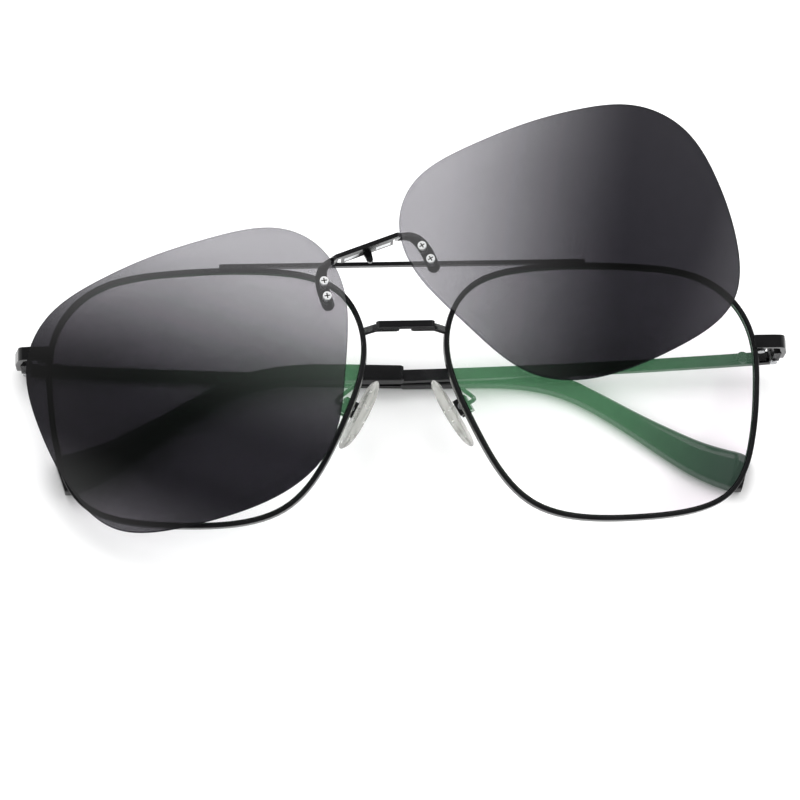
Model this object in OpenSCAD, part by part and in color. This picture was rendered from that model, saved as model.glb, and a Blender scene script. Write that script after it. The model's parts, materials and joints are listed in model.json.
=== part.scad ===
// Clip-on eyeglasses: a wire-rimmed front with a brow bar and nose pads, two folding
// temples with sleeved tips, and a magnetic sun clip that lies askew on the front.
// The glasses lie folded and face up on a table, and Z points up from the table.

/* [Demo lenses] */
// Width of one demo lens
lens_w = 60; // [56:0.5:62]
// Height of one demo lens
lens_h = 49.5; // [46:0.5:51]
// Least distance between the two demo lenses
bridge_gap = 16; // [15:0.5:18]
// Thickness of a demo lens
lens_t = 1.3; // [1.1:0.1:1.5]
// Radius of the lenses' front curve
base_r = 123; // [110:1:150]
// Turn of each lens backward at its temple side
wrap = 6.2; // [4:0.2:8]

/* [Rims] */
// Width of the rim wire seen from the front
wire_w = 0.86; // [0.8:0.02:1]
// Depth of the rim wire from front to rear
wire_d = 1.7; // [1.6:0.1:2]
// Depth of the lens groove in the wire
groove_depth = 0.43; // [0.36:0.01:0.44]
// Width of the lens groove at its floor
groove_w = 0.52; // [0.5:0.02:0.6]
// Clearance of a lens tongue in its groove
tongue_gap = 0.08; // [0.06:0.01:0.12]

/* [Brow bar and bridge] */
// Length of the brow bar
brow_len = 69.6; // [66:0.2:72]
// Height of the brow bar
brow_h = 0.8; // [0.7:0.05:1]
// Depth of the brow bar
brow_d = 1.6; // [1.4:0.1:1.8]
// Rise of the brow bar's middle above the tops of the lenses
brow_lift = 0.7; // [0.6:0.05:0.8]
// Length of the flat middle of the bridge
bridge_flat = 11; // [10:0.2:11.4]
// Height of the bridge plate
bridge_h = 1.25; // [1.2:0.05:1.4]
// Depth of the bridge plate
bridge_d = 3.2; // [3:0.1:3.4]
// Height of the bridge plate's middle above the lens centres
bridge_v = 12; // [11.8:0.1:12.3]
// Distance of the bridge's front face before the lens centres
bridge_front = 3.4; // [3.2:0.1:3.6]
// Width of the hook notch in the bridge
notch_w = 2.2; // [2.1:0.1:2.4]
// Depth of the hook notch
notch_d = 1.6; // [1.5:0.1:1.7]

/* [Magnets] */
// Length of a magnet
magnet_l = 3; // [2.6:0.1:3.2]
// Width of a magnet
magnet_w = 1.6; // [1.4:0.1:1.8]
// Thickness of a bridge magnet
magnet_t = 0.8; // [0.6:0.05:0.9]
// Distance of a magnet's middle from the centre plane
magnet_u = 3.2; // [3:0.1:3.4]

/* [End pieces and hinges] */
// Height of an end piece
end_h = 2.6; // [2.5:0.1:2.9]
// Wall of the bent end piece
end_t = 1; // [0.9:0.05:1.1]
// Reach of an end piece's face past the demo lens
end_reach = 5.2; // [5:0.1:5.6]
// Lean of an end piece's side outward at its hinge
end_splay = 0.7; // [0.5:0.05:0.9]
// Height of the end pieces above the lens centres
end_v = 10.3; // [10:0.05:10.5]
// Distance of the end pieces' front face before the middle of the rim wire
end_lift = 1.25; // [1.15:0.05:1.45]
// Distance of the hinge pins behind the end pieces' front face
hinge_depth = 8.4; // [8:0.1:8.8]
// Height of the hinge pins above the lens centres
hinge_v = 9.9; // [9.7:0.1:10.1]
// Distance from a hinge pin to the temple's outer face
pin_to_face = 2.1; // [2:0.05:2.3]
// Radius of the hinge knuckles
knuckle_r = 0.85; // [0.8:0.01:0.9]
// Height of the middle knuckle
knuckle_mid = 1; // [0.9:0.05:1.1]
// Height of an outer knuckle
knuckle_outer = 0.86; // [0.8:0.02:0.9]
// Radius of the hinge screws
pin_r = 0.45; // [0.4:0.01:0.5]

/* [Temples] */
// Height of the metal temple
blade_h = 2.4; // [2.2:0.1:2.6]
// Thickness of the metal temple
blade_t = 1.2; // [1.1:0.05:1.3]
// Distance from the hinge pin to the start of the sleeve
sleeve_start = 71.6; // [71:0.2:75]
// Thickness of the sleeve where it starts
sleeve_thin = 2.3; // [2.1:0.05:2.4]
// Thickness of the sleeve at its tip
sleeve_t = 3.2; // [3:0.1:3.3]
// Distance of the sleeve's outer face outside the metal temple
sleeve_proud = 0.2; // [0.15:0.05:0.3]
// Height of the sleeve where it starts
sleeve_h = 3.2; // [3:0.1:3.5]
// Height of the sleeve at its tip
tip_h = 8.5; // [7.5:0.1:9]
// Drop of the tip's middle below the line of the temple
tip_drop = 14.1; // [13:0.1:15]
// Distance along the folded temple from the hinge pin to the tip
temple_reach = 138.5; // [136:0.5:140]
// Downward cant of the folded temples
cant = 3.5; // [3:0.1:3.8]
// Tilt of the front against the temples
tilt = 9; // [8:0.5:10]
// Angle of the lower temple below the front's level
under_angle = 1.8; // [1.7:0.1:2]
// Angle of the upper temple above the front's level
over_angle = 0.2; // [0:0.1:0.4]

/* [Nose pads] */
// Length of a nose pad
pad_l = 14.6; // [13:0.2:15]
// Width of a nose pad
pad_w = 7.4; // [7:0.1:8]
// Thickness of a nose pad
pad_t = 1.9; // [1.7:0.1:2.1]
// Length of the hard core in a nose pad
core_l = 9; // [8:0.2:10]
// Width of the hard core in a nose pad
core_w = 3.4; // [3:0.1:3.8]
// Distance of a pad's middle from the centre plane
pad_u = 8.6; // [8.4:0.1:8.8]
// Distance of a pad's middle below the lens centres
pad_drop = 3; // [2.8:0.1:3.4]
// Distance of a pad's middle behind the lens centres
pad_back = 6.8; // [6.6:0.1:7.2]
// Angle of a pad to the upright, seen from the front
pad_angle = 28; // [26:0.5:30]
// Turn of a pad about its own length
pad_splay = 16; // [14:1:18]
// Radius of the pad arm wire
arm_r = 0.42; // [0.38:0.01:0.45]

/* [Sun clip] */
// Width of one clip lens
clip_w = 62.9; // [62.5:0.1:63.5]
// Height of one clip lens
clip_h = 52.1; // [51.5:0.1:52.6]
// Distance of a clip lens's middle from the centre plane
clip_u = 38.46; // [38.3:0.02:38.8]
// Distance of the clip lenses' front before the demo lenses' front
clip_rise = 3.6; // [3.5:0.05:3.8]
// Height of the clip lenses' centres above those of the demo lenses
clip_lift = 0.45; // [0.3:0.05:0.6]
// Thickness of a clip lens
clip_t = 1; // [0.8:0.05:1.1]
// Height of the clip's front bar
clip_bar_h = 0.85; // [0.8:0.05:1]
// Depth of the clip's front bar
clip_bar_d = 1; // [0.9:0.05:1.2]
// Thickness of the clip's shelf
shelf_t = 0.65; // [0.6:0.05:0.8]
// Clearance between the seated clip and the bridge
seat_gap = 0.08; // [0.06:0.01:0.12]
// Width of the clip's hook
hook_w = 1.6; // [1.4:0.1:1.7]
// Thickness of a clip arm
clip_arm_t = 0.8; // [0.7:0.05:0.9]
// Turn of the clip from its seat, as it lies in the picture
askew = 19.63; // [10:0.01:22]
// Distance of the clip's turning point left of the centre plane
pole_u = 43.78; // [43:0.01:45]
// Height of the clip's turning point above the lens centres
pole_v = 0.23; // [0:0.01:0.5]
// Radius of a clip screw's head
screw_head_r = 0.82; // [0.8:0.01:0.9]

/* [Hidden] */
$fn = 48;

// Colours of the finishes
black_metal = [0.06, 0.06, 0.065];
black_resin = [0.04, 0.04, 0.045];
bare_steel = [0.75, 0.76, 0.78];
magnet_grey = [0.72, 0.73, 0.75];
demo_clear = [0.85, 0.95, 0.88, 0.35];
sun_grey = [0.3, 0.3, 0.32, 0.7];
silicone = [0.92, 0.93, 0.9, 0.6];
insert_clear = [0.8, 0.82, 0.8, 0.8];

// Small overlap that lets one cut or joint run past another
eps = 0.01;
// Steps of an outline in one span of its control points
outline_steps = 8;
// Running clearance of a screw in a bore that turns on it
run_gap = 0.04;
// Clearance of a screw in the bores that carry it
hold_gap = 0.02;
// Gap between two knuckles
knuckle_gap = 0.07;

// Shapes of the two lens outlines as control points in a box from -1 to 1,
// with the temple side at +1 and the brow at the top
demo_control = [[0.99, 0.05], [1.01, 0.40], [0.92, 0.73], [0.65, 0.98], [0.17, 1.00],
    [-0.34, 1.00], [-0.82, 0.93], [-1.00, 0.58], [-1.02, 0.20], [-0.85, -0.31],
    [-0.55, -1.00], [0.16, -1.01], [0.83, -0.89], [0.96, -0.32]];
clip_control = [[1.01, 0.12], [0.99, 0.61], [0.73, 0.93], [0.36, 0.99], [0.01, 1.01],
    [-0.35, 0.98], [-0.76, 0.93], [-0.99, 0.64], [-1.02, 0.20], [-0.83, -0.29],
    [-0.62, -0.84], [-0.19, -1.03], [0.33, -0.98], [0.84, -0.84], [0.98, -0.33]];

// Geometry helpers

function unit(a) = a / norm(a);
function spline(a, b, c, d, t) =
    (pow(1 - t, 3) * a + (3 * pow(t, 3) - 6 * pow(t, 2) + 4) * b
    + (-3 * pow(t, 3) + 3 * pow(t, 2) + 3 * t + 1) * c + pow(t, 3) * d) / 6;
function closed_curve(p, n) = [for (i = [0:len(p) - 1]) for (k = [0:n - 1])
    spline(p[(i + len(p) - 1) % len(p)], p[i], p[(i + 1) % len(p)],
        p[(i + 2) % len(p)], k / n)];
function extended(p) =
    concat([2 * p[0] - p[1]], p, [2 * p[len(p) - 1] - p[len(p) - 2]]);
function open_curve(p, n) = let (q = extended(p), last = len(q) - 4)
    concat([for (i = [0:last]) for (k = [0:n - 1])
        spline(q[i], q[i + 1], q[i + 2], q[i + 3], k / n)],
        [spline(q[last], q[last + 1], q[last + 2], q[last + 3], 1)]);
function low(p, k) = min([for (q = p) q[k]]);
function high(p, k) = max([for (q = p) q[k]]);
function in_box(p, w, h) =
    let (cx = (low(p, 0) + high(p, 0)) / 2, cy = (low(p, 1) + high(p, 1)) / 2)
    [for (q = p) [(q.x - cx) * w / (high(p, 0) - low(p, 0)),
        (q.y - cy) * h / (high(p, 1) - low(p, 1))]];
function outward(p, i) =
    let (t = p[(i + 1) % len(p)] - p[(i + len(p) - 1) % len(p)]) unit([t.y, -t.x]);
function grown(p, d) = [for (i = [0:len(p) - 1]) p[i] + d * outward(p, i)];
function shell_w(q, r) = sqrt(r * r - q.x * q.x - q.y * q.y) - r;
function turned_x(p, a) =
    [p.x, p.y * cos(a) - p.z * sin(a), p.y * sin(a) + p.z * cos(a)];
function turned_y(p, a) =
    [p.x * cos(a) + p.z * sin(a), p.y, p.z * cos(a) - p.x * sin(a)];
function turned_z(p, a) =
    [p.x * cos(a) - p.y * sin(a), p.x * sin(a) + p.y * cos(a), p.z];
function chamfered(w, h, c) = [[c - w / 2, -h / 2], [w / 2 - c, -h / 2], [w / 2, c - h / 2],
    [w / 2, h / 2 - c], [w / 2 - c, h / 2], [c - w / 2, h / 2], [-w / 2, h / 2 - c],
    [-w / 2, c - h / 2]];
function side_faces(n, m, closed) = [for (i = [0:n - (closed ? 1 : 2)])
    for (j = [0:m - 1])
    let (a = i * m + j, b = i * m + (j + 1) % m,
        c = ((i + 1) % n) * m + (j + 1) % m, d = ((i + 1) % n) * m + j)
    each [[a, b, c], [a, c, d]]];
function tangent(p, i) = unit(p[min(i + 1, len(p) - 1)] - p[max(i - 1, 0)]);

module closed_sweep(rings) {
    polyhedron(points = [for (r = rings) each r],
        faces = side_faces(len(rings), len(rings[0]), true));
}

module open_sweep(rings) {
    n = len(rings);
    m = len(rings[0]);
    polyhedron(points = [for (r = rings) each r],
        faces = concat(side_faces(n, m, false),
            [[for (j = [0:m - 1]) m - 1 - j]],
            [[for (j = [0:m - 1]) (n - 1) * m + j]]));
}

module wire(path, r, sides, up) {
    rings = [for (i = [0:len(path) - 1])
        let (t = tangent(path, i), a = unit(cross(t, up)), b = cross(t, a))
        [for (j = [0:sides - 1])
            path[i] + r * (a * cos(360 * j / sides) - b * sin(360 * j / sides))]];
    open_sweep(rings);
}

// Places in the row, the front and the clip

lens_u = (lens_w + bridge_gap) / 2;
demo_outline = in_box(closed_curve(demo_control, outline_steps), lens_w, lens_h);
wire_mid = -lens_t / 2;

// Places on the middle of the rim wire, in the front
function on_rim(p) = [lens_u, 0, 0]
    + turned_y([p.x, p.y, shell_w(p, base_r) + wire_mid], wrap);
function nasal_rim(v) = on_rim([lookup(v,
    [for (q = demo_outline) if (q.x < -lens_w / 3) [q.y, q.x]]), v]);
function temporal_rim(v) = on_rim([lookup(v,
    [for (q = demo_outline) if (q.x > lens_w / 3) [q.y, q.x]]), v]);

end_rim = temporal_rim(end_v);
end_back = -end_rim.z - end_lift;
end_u = lens_u + lens_w / 2 + end_reach;
hinge_back = end_back + hinge_depth;
hinge_u = end_u + end_splay - pin_to_face;
hinge_level = turned_x([hinge_u, hinge_v, -hinge_back], tilt);
hinge_z = pin_to_face + sleeve_proud;
// Distance from the lens row to the middle of the footprint on the table
footprint_y = 16;
axis_under = [sin(cant), cos(cant), 0];

module level() {
    translate([-hinge_level.x, hinge_level.y - footprint_y, hinge_z])
        rotate(a = -under_angle, v = axis_under)
            translate([hinge_level.x, -hinge_level.y, -hinge_level.z])
                children();
}

module front_frame() {
    level() rotate([tilt, 0, 0]) children();
}

module mirrored(side) {
    if (side < 0) {
        mirror([1, 0, 0]) children();
    } else {
        children();
    }
}

module on_front(side) {
    front_frame() mirrored(side) children();
}

module lens_place(u, rise) {
    translate([u, 0, rise]) rotate([0, wrap, 0]) children();
}

module clip_frame(side) {
    front_frame()
        translate([-pole_u, pole_v, 0]) rotate([0, 0, askew]) translate([pole_u, -pole_v, 0])
            mirrored(side) children();
}

module left_hinge_frame() {
    level() translate([-hinge_level.x, hinge_level.y, hinge_level.z])
        rotate([0, 0, -cant]) children();
}

module hinge_frame(side) {
    if (side < 0) {
        left_hinge_frame() children();
    } else {
        level() mirror([1, 0, 0])
            translate([-hinge_level.x, hinge_level.y, hinge_level.z])
                rotate([0, 0, -cant]) children();
    }
}

module temple_frame(side) {
    hinge_frame(side)
        rotate([0, side < 0 ? under_angle : -over_angle, 0]) children();
}

// Demo lenses and rims

body_edge = wire_w / 2 + 0.06;
tongue_t = 0.28;
tongue_edge = wire_w / 2 - groove_depth + tongue_gap;

module shell(depth, t, outline) {
    intersection() {
        translate([0, 0, -base_r]) difference() {
            sphere(r = base_r - depth, $fn = 96);
            sphere(r = base_r - depth - t, $fn = 96);
        }
        translate([0, 0, -base_r / 3]) linear_extrude(height = base_r / 2) polygon(outline);
    }
}

module demo_lens(side) {
    color(demo_clear) on_front(side) lens_place(lens_u, 0) union() {
        shell(0, lens_t, grown(demo_outline, -body_edge));
        shell((lens_t - tongue_t) / 2, tongue_t, grown(demo_outline, -tongue_edge));
    }
}

function rim_profile() =
    let (w = wire_w / 2, d = wire_d / 2, c = 0.16, g = groove_w / 2, m = g + 0.08)
    [[w - c, -d], [w, c - d], [w, d - c], [w - c, d], [c - w, d], [-w, d - c], [-w, m],
        [groove_depth - w, g], [groove_depth - w, -g], [-w, -m], [-w, c - d], [c - w, -d]];

module rim(side) {
    rings = [for (i = [0:len(demo_outline) - 1])
        let (p = demo_outline[i], n = outward(demo_outline, i))
        [for (q = rim_profile())
            [p.x + q.x * n.x, p.y + q.x * n.y, shell_w(p, base_r) + wire_mid + q.y]]];
    color(black_metal) on_front(side) lens_place(lens_u, 0) closed_sweep(rings);
}

// Brow bar and bridge

rim_top_w = shell_w([lens_u - brow_len / 2, lens_h / 2], base_r) + wire_mid;
brow_front = rim_top_w + wire_d / 2 + 0.6;
brow_edge = 0.15;
brow_v = lens_h / 2 + brow_lift;

module brow_bar() {
    color(black_metal) front_frame()
        translate([-brow_len / 2, brow_v, brow_front - brow_d / 2]) rotate([90, 0, 90])
            linear_extrude(height = brow_len) polygon(chamfered(brow_h, brow_d, brow_edge));
}

notch_wide = notch_w + 1;
leg_rim = nasal_rim(bridge_v);

function bridge_plan() = let (f = bridge_front, r = bridge_front - bridge_d,
    a = bridge_flat / 2, c = 0.5, n = notch_w / 2, m = notch_wide / 2)
    [[-a, f - c], [c - a, f], [a - c, f], [a, f - c], [a, r], [m, r],
        [n, r + (m - n)], [n, r + notch_d], [-n, r + notch_d], [-n, r + (m - n)], [-m, r], [-a, r]];

module magnet_pair(t, extra) {
    for (s = [-1, 1]) {
        translate([s * magnet_u - magnet_l / 2 - extra, 0, -magnet_w / 2 - extra])
            cube([magnet_l + 2 * extra, t, magnet_w + 2 * extra]);
    }
}

magnet_back = bridge_front - bridge_d / 2;
bridge_top = bridge_v + bridge_h / 2;

// Stations along a bridge leg: distance out, front face and depth
function leg_stations() = let (a = bridge_flat / 2, f = bridge_front)
    [[a - 0.35, f - 1.75, 1.45], [a + 0.4, f - 2.5, 1.4],
        [leg_rim.x - wire_w / 2, leg_rim.z + 0.7, 1.4]];

module leg_slice(s) {
    slice = 0.3;
    height = bridge_h - 0.1;
    translate([s.x, bridge_v - height / 2, s.y - s.z]) cube([slice, height, s.z]);
}

module bridge_leg() {
    stations = leg_stations();
    for (i = [0:len(stations) - 2]) {
        hull() {
            leg_slice(stations[i]);
            leg_slice(stations[i + 1]);
        }
    }
}

module bridge() {
    color(black_metal) front_frame() union() {
        difference() {
            translate([0, bridge_top, 0]) rotate([90, 0, 0])
                linear_extrude(height = bridge_h) polygon(bridge_plan());
            translate([0, bridge_top - magnet_t, magnet_back])
                magnet_pair(magnet_t + 1, hold_gap);
        }
        for (s = [-1, 1]) {
            mirrored(s) bridge_leg();
        }
    }
}

module bridge_magnets() {
    color(magnet_grey) front_frame()
        translate([0, bridge_top - magnet_t, magnet_back]) magnet_pair(magnet_t, 0);
}

// End pieces, closing blocks and hinges, each drawn for the right side in the front

module plan_extrude(h) {
    rotate([90, 0, 0]) translate([0, 0, -h / 2]) linear_extrude(height = h) children();
}

// Outer and inner radius of the end piece's bend
end_corner = 1.2;
end_inner = 0.9;
// Length of the front hinge's leaf
front_leaf = 3.6;
// Gap between the end of the end piece and the hinge pin
tail_gap = 0.35;
// Distance of the end piece's bend before the front hinge's leaf
bend_gap = 0.5;
// Depth of the end piece's joint in the rim
rim_joint = 0.33;

// Outline of the end piece from above: its face, its bend and its side with the splay
function end_plan() = let (face = -end_back, tail = tail_gap - hinge_back,
    inner = end_rim.x + wire_w / 2 - rim_joint, bend = front_leaf + bend_gap - hinge_back,
    out = end_u + end_splay, r = end_u - end_t - end_inner, steps = [0:15:90])
    concat([[inner, face - end_t], [inner, face]],
        [for (a = steps) [end_u - end_corner + end_corner * sin(a),
            face - end_corner + end_corner * cos(a)]],
        [[out, bend], [out, tail], [out - end_t, tail], [out - end_t, bend]],
        [for (a = steps) [r + end_inner * cos(a), face - end_t - end_inner + end_inner * sin(a)]]);

module end_piece(side) {
    color(black_metal) on_front(side) translate([0, end_v, 0]) plan_extrude(end_h)
        polygon(end_plan());
}

block_u = end_rim.x + wire_w / 2 + 0.02;
block_w = 2.1;
block_h = end_h - 0.3;
block_d = 2.2;
block_front = end_back + end_t + 0.02;
split = 0.14;
rim_screw_r = 0.45;

module closing_block(side) {
    color(black_metal) on_front(side)
        translate([block_u, end_v - block_h / 2, -block_front - block_d]) difference() {
            cube([block_w, block_h, block_d]);
            translate([-eps, (block_h - split) / 2, -eps])
                cube([block_w + 2 * eps, split, block_d + 2 * eps]);
            translate([block_w / 2, -eps, block_d / 2]) rotate([-90, 0, 0])
                cylinder(r = rim_screw_r + hold_gap, h = block_h + 2 * eps);
        }
}

module slotted_head(r, h, slot_w) {
    difference() {
        cylinder(r = r, h = h);
        translate([-r - eps, -slot_w / 2, h / 2]) cube([2 * r + 2 * eps, slot_w, h]);
    }
}

module rim_screw(side) {
    color(bare_steel) on_front(side)
        translate([block_u + block_w / 2, end_v - block_h / 2, -block_front - block_d / 2])
            rotate([90, 0, 0]) union() {
                translate([0, 0, -block_h + 0.1]) cylinder(r = rim_screw_r, h = block_h);
                translate([0, 0, hold_gap]) slotted_head(0.85, 0.45, 0.2);
            }
}

knuckle_stack = knuckle_mid + 2 * knuckle_gap + 2 * knuckle_outer;

module upright(y, h) {
    translate([0, y, 0]) rotate([-90, 0, 0]) linear_extrude(height = h) mirror([0, 1]) children();
}

module front_hinge(side) {
    wall = pin_to_face - end_t - 0.02;
    color(bare_steel) hinge_frame(side) difference() {
        union() {
            for (y = [-knuckle_stack / 2, knuckle_mid / 2 + knuckle_gap]) {
                upright(y, knuckle_outer) union() {
                    circle(r = knuckle_r);
                    translate([-wall, 0]) square([wall + 0.3, front_leaf]);
                }
            }
            upright(-knuckle_stack / 2, knuckle_stack)
                translate([-wall, knuckle_r + tail_gap])
                    square([wall + 0.3, front_leaf - knuckle_r - tail_gap]);
        }
        upright(-knuckle_stack / 2 - eps, knuckle_stack + 2 * eps)
            circle(r = pin_r + hold_gap);
    }
}

module hinge_screw(side) {
    color(bare_steel) hinge_frame(side) rotate([90, 0, 0]) union() {
        translate([0, 0, -knuckle_stack / 2]) cylinder(r = pin_r, h = knuckle_stack + 0.1);
        translate([0, 0, knuckle_stack / 2 + hold_gap]) slotted_head(0.75, 0.35, 0.18);
    }
}

module temple_hinge(side) {
    leaf_len = 5.8;
    leaf_end_r = 1.15;
    inner = -(pin_to_face - blade_t) + 0.01;
    leaf_top = inner + 0.6;
    color(bare_steel) temple_frame(side) difference() {
        union() {
            upright(-knuckle_mid / 2, knuckle_mid) union() {
                circle(r = knuckle_r);
                translate([0, inner]) square([leaf_len, leaf_top - inner]);
            }
            translate([knuckle_r + 0.4, -blade_h / 2 + 0.3, inner])
                cube([leaf_len - knuckle_r - 0.4, blade_h - 0.6, leaf_top - inner]);
            translate([leaf_len, 0, inner])
                cylinder(r = leaf_end_r, h = leaf_top - inner + 0.15);
        }
        upright(-knuckle_mid / 2 - eps, knuckle_mid + 2 * eps)
            circle(r = pin_r + run_gap);
    }
}

// Temples: distance along the folded temple, height of its middle and height of the section

// Reach of the temple's thin core into the sleeve
core_reach = 9;
blade_end = sleeve_start + core_reach;
// Rise of the temple's middle where the sleeve starts
blade_bow = 1.6;

function blade_middle(x) = blade_bow * pow(x / sleeve_start, 2);

module temple(side) {
    steps = 16;
    start = 0.12;
    core = 0.45;
    xs = [for (i = [0:steps]) start + (sleeve_start + 0.5 - start) * i / steps];
    outline = concat(
        [for (x = xs) [x, blade_middle(x) - blade_h / 2]],
        [[sleeve_start + 0.5, blade_middle(sleeve_start) - core],
            [blade_end, blade_middle(blade_end) - core],
            [blade_end, blade_middle(blade_end) + core],
            [sleeve_start + 0.5, blade_middle(sleeve_start) + core]],
        [for (i = [0:steps]) [xs[steps - i], blade_middle(xs[steps - i]) + blade_h / 2]]);
    color(black_metal) temple_frame(side)
        translate([0, 0, -pin_to_face]) linear_extrude(height = blade_t) polygon(outline);
}

// Route of the sleeve's middle: share of its length, share of the tip's drop, and the
// share of the way from the height at its start to the height at its tip
sleeve_route = [[0, 0.13, 0], [0.06, 0.15, 0.02], [0.18, 0.2, 0.05], [0.3, 0.24, 0.06],
    [0.4, 0.21, 0.06], [0.49, 0.11, 0.07], [0.58, -0.09, 0.1], [0.68, -0.36, 0.22],
    [0.79, -0.65, 0.54], [0.89, -0.89, 0.82], [1, -1.02, 1]];

module temple_tip(side) {
    reach = temple_reach - sleeve_start;
    curve = open_curve([for (p = sleeve_route)
        [p.x * reach, p.y * tip_drop, sleeve_h + p.z * (tip_h - sleeve_h)]], 3);
    last = len(curve) - 1;
    face = -pin_to_face - sleeve_proud;
    flat = [for (p = curve) [p.x, p.y]];
    rings = [for (i = [0:last])
        let (t = tangent(flat, i), s = curve[i], part = i / last,
            inset = i == 0 ? 0.12 : (i == last ? 0.4 : 0),
            thick = sleeve_thin + (sleeve_t - sleeve_thin) * part,
            c = 0.7 + 0.4 * part - inset / 2)
        [for (q = chamfered(s.z - 3 * inset, thick - 2 * inset, c))
            [sleeve_start + s.x + t.y * q.x, s.y - t.x * q.x, face + thick / 2 + q.y]]];
    color(black_resin) temple_frame(side) open_sweep(rings);
}

// Nose pads, their inserts and arms, each drawn for the right side

pivot_r = 0.4;
box_gap = 0.55;
boss_w = 1.5;
boss_l = 2;
box_wall = 0.5;
box_d = 2.1;
pivot_back = pad_t / 2 + box_gap + box_d / 2;

module pad_frame(side) {
    on_front(side) translate([pad_u, -pad_drop, -pad_back]) rotate([0, 0, pad_angle])
        rotate([0, -90 - pad_splay, 0]) children();
}

function pad_outline(l, w) = [for (a = [0:12:348])
    [w / 2 * cos(a) * (1 - 0.12 * sin(a)), l / 2 * sin(a)]];

module nose_pad(side) {
    color(silicone) pad_frame(side) difference() {
        pad_body();
        insert_core(hold_gap);
    }
}

module pad_body() {
    crown = 22;
    intersection() {
        translate([0, 0, -pad_t / 2]) linear_extrude(height = pad_t)
            polygon(pad_outline(pad_l, pad_w));
        translate([0, 0, pad_t / 2 - crown]) sphere(r = crown, $fn = 96);
    }
}

module insert_core(extra) {
    translate([0, 0, -0.5 - extra]) linear_extrude(height = 0.7 + 2 * extra)
        polygon(pad_outline(core_l + 2 * extra, core_w + 2 * extra));
    translate([-boss_w / 2 - extra, -boss_l / 2 - extra, -pivot_back - boss_l / 2 + 0.2])
        cube([boss_w + 2 * extra, boss_l + 2 * extra, pivot_back + boss_l / 2 - 0.4]);
}

module pad_insert(side) {
    color(insert_clear) pad_frame(side) difference() {
        insert_core(0);
        translate([0, 0, -pivot_back]) rotate([0, 90, 0])
            cylinder(r = pivot_r + run_gap, h = boss_w + 1, center = true);
    }
}

function pad_point(z) = [pad_u, -pad_drop, -pad_back]
    + turned_z(turned_y([0, 0, z], -90 - pad_splay), pad_angle);

// Route of a pad arm from the rim to the box behind the pad
function pad_arm_path() = let (rim = nasal_rim(2.8) - [0, 0, wire_d / 2 - 0.15],
    rear = -pivot_back - box_d / 2 - box_wall, end = pad_point(rear + 0.25),
    near = pad_point(rear - 0.7))
    [rim, rim + [0.05, 0, -1.4], rim + [0.8, -0.2, -3.2], (rim + near) / 2 + [0.1, 0.9, -3.1],
        near + [-0.3, 1.7, -1.9], near + [0.6, 0.6, -1], near, end];

module pad_arm(side) {
    inner = boss_w + 2 * 0.1;
    box_l = boss_l + 1.2;
    rear = -pivot_back - box_d / 2 - box_wall;
    color(black_metal) union() {
        pad_frame(side) difference() {
            translate([-inner / 2 - box_wall, -box_l / 2, rear])
                cube([inner + 2 * box_wall, box_l, box_d + box_wall]);
            translate([-inner / 2, -box_l / 2 - eps, rear + box_wall])
                cube([inner, box_l + 2 * eps, box_d + box_wall]);
            translate([0, 0, -pivot_back]) rotate([0, 90, 0])
                cylinder(r = pivot_r + hold_gap, h = 2 * inner, center = true);
        }
        on_front(side) wire(open_curve(pad_arm_path(), 4), arm_r, 8, [0.2, 1, 0.3]);
    }
}

module pad_screw(side) {
    span = boss_w + 0.2 + 2 * box_wall;
    color(bare_steel) pad_frame(side) translate([0, 0, -pivot_back]) rotate([0, 90, 0])
        union() {
            translate([0, 0, -span / 2]) cylinder(r = pivot_r, h = span + 0.05);
            translate([0, 0, span / 2 + hold_gap]) slotted_head(0.65, 0.3, 0.16);
        }
}

// Sun clip

clip_outline = in_box(closed_curve(clip_control, outline_steps), clip_w, clip_h);
screw_u = 10.4;
screw_v = 7.85;
screw_pitch = 3.1;
screw_lean = 10.5;
screw_r = 0.45;

module on_clip_lens() {
    translate([0, clip_lift, 0]) lens_place(clip_u, clip_rise) children();
}

module on_clip_shell(depth) {
    r = base_r;
    dip = asin(screw_v / r);
    turn = asin((screw_u - clip_u) / (r * cos(dip)));
    on_clip_lens() translate([0, 0, -r])
        rotate([0, turn, 0]) rotate([-dip, 0, 0]) translate([0, 0, r - depth]) children();
}

module at_clip_screws() {
    for (s = [-1, 1]) {
        rotate([0, 0, screw_lean]) translate([0, s * screw_pitch / 2, 0]) children();
    }
}

module clip_lens(side) {
    color(sun_grey) clip_frame(side) difference() {
        on_clip_lens() shell(0, clip_t, clip_outline);
        on_clip_shell(clip_t + 1) at_clip_screws()
            cylinder(r = screw_r + hold_gap, h = clip_t + 3);
    }
}

arm_back = clip_t + 0.25;
arm_w = 2.4;
// Middle of the arm's round end
arm_end = [0.3, -2.6];

// Outline of an arm, swept along its middle with its width at each point
function arm_points() = let (c = open_curve([[-4.1, 5.5, 1.3], [-2.9, 5.3, 1.4],
    [-1.5, 4.7, 1.7], [-0.5, 3.3, 2.2], [0, 1.6, arm_w], [0.25, -0.5, arm_w],
    [arm_end.x, arm_end.y, arm_w]], 3), flat = [for (p = c) [p.x, p.y]], n = len(c) - 1)
    concat([for (i = [0:n]) let (t = tangent(flat, i)) flat[i] + [-t.y, t.x] * c[i].z / 2],
        [for (a = [15:15:165]) arm_end + arm_w / 2 * [cos(a), -sin(a)]],
        [for (j = [0:n]) let (i = n - j, t = tangent(flat, i))
            flat[i] - [-t.y, t.x] * c[i].z / 2]);

module clip_arm(side) {
    color(black_metal) clip_frame(side) on_clip_shell(arm_back + clip_arm_t) difference() {
        linear_extrude(height = clip_arm_t) polygon(arm_points());
        translate([0, 0, -eps]) at_clip_screws()
            cylinder(r = screw_r + hold_gap, h = clip_arm_t + 2 * eps);
    }
}

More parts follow.
